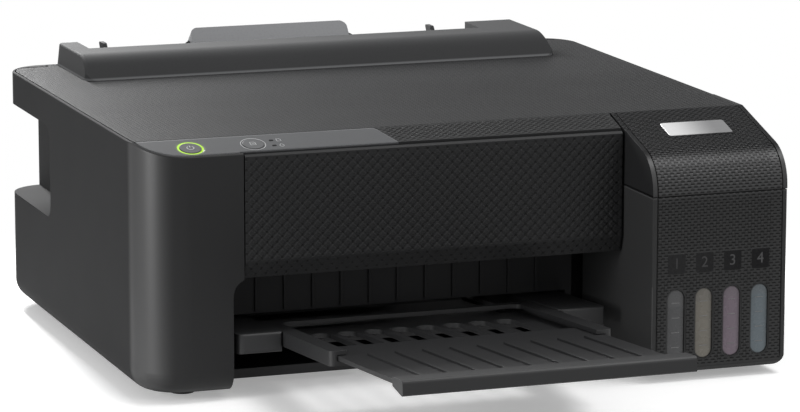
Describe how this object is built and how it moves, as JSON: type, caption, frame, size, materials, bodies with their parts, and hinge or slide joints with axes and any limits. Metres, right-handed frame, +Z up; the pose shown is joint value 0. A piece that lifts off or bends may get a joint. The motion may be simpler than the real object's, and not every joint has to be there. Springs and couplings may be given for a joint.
{
  "type": "inkjet printer",
  "caption": "Desktop inkjet printer with refillable side tanks under a lid, a leaning rear sheet feeder with edge guides and a two-stage pull-out exit tray.",
  "frame": {"origin": "on the table under the middle of the box of the whole printer with its exit tray drawn out", "axes": "+X to the viewer's right when facing the front, +Y from the exit tray to the back, +Z up"},
  "size_m": [0.375, 0.504, 0.1675],
  "materials": {
    "case": "fine moulded charcoal",
    "top": "charcoal with a fine moulded pattern",
    "hood": "fine moulded charcoal",
    "panel": "near black with a fine moulded lattice",
    "grey": "mid grey",
    "button": "satin charcoal",
    "light": "green translucent",
    "tray": "satin black",
    "inner": "moulded black",
    "print_head": "dark grey",
    "gear": "natural white",
    "steel": "plated",
    "motor": "plated can",
    "rubber": "soft black",
    "board": "green laminate",
    "supply": "black",
    "felt": "porous felt",
    "ink_black": "smoky translucent, dark ink",
    "ink_yellow": "smoky translucent, yellow ink",
    "ink_magenta": "smoky translucent, magenta ink",
    "ink_cyan": "smoky translucent, cyan ink"
  },
  "bodies": {
    "body": {"left_cover": "case", "right_cover": "case", "back_cover": "case", "base_pan": "inner", "rubber_feet": "rubber", "case_screws": "steel", "front_panel": "panel", "front_band": "top", "control_panel": "grey", "power_ring": "light", "control_board": "board", "feeder_hood": "hood", "tank_housing": "case", "tank_deck": "inner", "feed_motor": "motor", "platen": "inner", "pinch_arm": "inner", "star_bar": "inner", "main_frame": "steel", "guide_shaft": "steel", "timing_belt": "rubber", "carriage_motor": "motor", "capping_station": "inner", "cap_and_wiper": "rubber", "feeder_frame": "hood", "tray_guide": "tray", "main_board": "board", "power_supply": "supply", "power_inlet": "supply", "waste_pad": "felt", "ink_tank_black": "ink_black", "ink_tank_yellow": "ink_yellow", "ink_tank_magenta": "ink_magenta", "ink_tank_cyan": "ink_cyan"},
    "top_cover_body": {"top_cover": "top"},
    "paper_support_body": {"paper_support": "hood"},
    "support_tab_body": {"support_tab": "grey"},
    "edge_guide_left_body": {"edge_guide_left": "hood"},
    "edge_guide_right_body": {"edge_guide_right": "hood"},
    "guide_pinion_body": {"guide_pinion": "gear"},
    "output_tray_body": {"output_tray": "tray"},
    "tray_extension_body": {"tray_extension": "tray"},
    "power_button_body": {"power_button": "button"},
    "feed_button_body": {"feed_button": "button"},
    "drive_pulley_body": {"drive_pulley": "steel"},
    "idler_pulley_body": {"idler_pulley": "gear"},
    "feed_roller_body": {"feed_roller": "steel"},
    "idler_gear_body": {"idler_gear": "gear"},
    "exit_roller_body": {"exit_roller": "rubber"},
    "feed_pinion_body": {"feed_pinion": "steel"},
    "pinch_rollers_body": {"pinch_rollers": "rubber"},
    "star_wheels_body": {"star_wheels": "gear"},
    "pickup_roller_body": {"pickup_roller": "rubber"},
    "carriage_body": {"carriage": "inner", "print_head": "print_head"},
    "cap_black_body": {"tank_cap_black": "ink_black"},
    "cap_yellow_body": {"tank_cap_yellow": "ink_yellow"},
    "cap_magenta_body": {"tank_cap_magenta": "ink_magenta"},
    "cap_cyan_body": {"tank_cap_cyan": "ink_cyan"}
  },
  "joints": [
    {"name": "cover_hinge", "type": "hinge", "parent": "body", "child": "top_cover_body", "pos_m": [0, 0.246, 0.1456], "axis": [-1, 0, 0], "range_deg": [0, 50]},
    {"name": "support_slide", "type": "slide", "parent": "body", "child": "paper_support_body", "axis": [0, 0.6428, 0.766], "range_m": [0, 0.045]},
    {"name": "tab_slide", "type": "slide", "parent": "paper_support_body", "child": "support_tab_body", "axis": [0, 0.6428, 0.766], "range_m": [0, 0.06]},
    {"name": "guide_left_slide", "type": "slide", "parent": "body", "child": "edge_guide_left_body", "axis": [1, 0, 0], "range_m": [0, 0.055]},
    {"name": "guide_right_slide", "type": "slide", "parent": "body", "child": "edge_guide_right_body", "axis": [-1, 0, 0], "range_m": [0, 0.055]},
    {"name": "guide_pinion_turn", "type": "hinge", "parent": "body", "child": "guide_pinion_body", "pos_m": [-0.021, 0.18164, 0.09149], "axis": [0, -0.766, 0.6428], "range_deg": [-530, 5]},
    {"name": "tray_slide", "type": "slide", "parent": "body", "child": "output_tray_body", "axis": [0, -0.9966, 0.0819], "range_m": [-0.1, 0]},
    {"name": "extension_slide", "type": "slide", "parent": "output_tray_body", "child": "tray_extension_body", "axis": [0, -0.9966, 0.0819], "range_m": [-0.1, 0]},
    {"name": "power_press", "type": "slide", "parent": "body", "child": "power_button_body", "axis": [0, 0.284, -0.9588], "range_m": [0, 0.0008], "stiffness_N_per_m": 400, "springref_m": -0.0005},
    {"name": "feed_press", "type": "slide", "parent": "body", "child": "feed_button_body", "axis": [0, 0.284, -0.9588], "range_m": [0, 0.0008], "stiffness_N_per_m": 400, "springref_m": -0.0005},
    {"name": "carriage_slide", "type": "slide", "parent": "body", "child": "carriage_body", "axis": [-1, 0, 0], "range_m": [0, 0.24]},
    {"name": "drive_pulley_turn", "type": "hinge", "parent": "body", "child": "drive_pulley_body", "pos_m": [-0.146, 0.1015, 0.112], "axis": [0, 1, 0], "range_deg": [-5, 2300]},
    {"name": "idler_pulley_turn", "type": "hinge", "parent": "body", "child": "idler_pulley_body", "pos_m": [0.155, 0.1015, 0.112], "axis": [0, 1, 0], "range_deg": [-5, 2300]},
    {"name": "feed_roller_turn", "type": "hinge", "parent": "body", "child": "feed_roller_body", "pos_m": [0, 0.078, 0.057], "axis": [1, 0, 0], "continuous": true},
    {"name": "idler_gear_turn", "type": "hinge", "parent": "body", "child": "idler_gear_body", "pos_m": [-0.144, 0.05, 0.057], "axis": [1, 0, 0], "continuous": true},
    {"name": "exit_roller_turn", "type": "hinge", "parent": "body", "child": "exit_roller_body", "pos_m": [0, 0.024, 0.057], "axis": [1, 0, 0], "continuous": true},
    {"name": "feed_pinion_turn", "type": "hinge", "parent": "body", "child": "feed_pinion_body", "pos_m": [-0.144, 0.1008, 0.057], "axis": [1, 0, 0], "continuous": true},
    {"name": "pinch_rollers_turn", "type": "hinge", "parent": "body", "child": "pinch_rollers_body", "pos_m": [-0.021, 0.079, 0.06535], "axis": [1, 0, 0], "continuous": true},
    {"name": "star_wheels_turn", "type": "hinge", "parent": "body", "child": "star_wheels_body", "pos_m": [-0.021, 0.024, 0.0666], "axis": [1, 0, 0], "continuous": true},
    {"name": "pickup_roller_turn", "type": "hinge", "parent": "body", "child": "pickup_roller_body", "pos_m": [-0.021, 0.17212, 0.10862], "axis": [1, 0, 0], "continuous": true},
    {"name": "cap_black_hinge", "type": "hinge", "parent": "body", "child": "cap_black_body", "pos_m": [0, -0.055, 0.0942], "axis": [-1, 0, 0], "range_deg": [0, 100]},
    {"name": "cap_yellow_hinge", "type": "hinge", "parent": "body", "child": "cap_yellow_body", "pos_m": [0, -0.055, 0.0942], "axis": [-1, 0, 0], "range_deg": [0, 100]},
    {"name": "cap_magenta_hinge", "type": "hinge", "parent": "body", "child": "cap_magenta_body", "pos_m": [0, -0.055, 0.0942], "axis": [-1, 0, 0], "range_deg": [0, 100]},
    {"name": "cap_cyan_hinge", "type": "hinge", "parent": "body", "child": "cap_cyan_body", "pos_m": [0, -0.055, 0.0942], "axis": [-1, 0, 0], "range_deg": [0, 100]}
  ],
  "couplings": [
    {"joint": "guide_right_slide", "follows": "guide_left_slide", "ratio": 1},
    {"joint": "guide_pinion_turn", "follows": "guide_left_slide", "rad_per_m": -166.67},
    {"joint": "drive_pulley_turn", "follows": "carriage_slide", "rad_per_m": 166.67},
    {"joint": "idler_pulley_turn", "follows": "carriage_slide", "rad_per_m": 166.67},
    {"joint": "idler_gear_turn", "follows": "feed_roller_turn", "ratio": -1.8},
    {"joint": "exit_roller_turn", "follows": "feed_roller_turn", "ratio": 1.125},
    {"joint": "feed_pinion_turn", "follows": "feed_roller_turn", "ratio": -3.75},
    {"joint": "pinch_rollers_turn", "follows": "feed_roller_turn", "ratio": -1.6667},
    {"joint": "star_wheels_turn", "follows": "feed_roller_turn", "ratio": -1.4062}
  ]
}
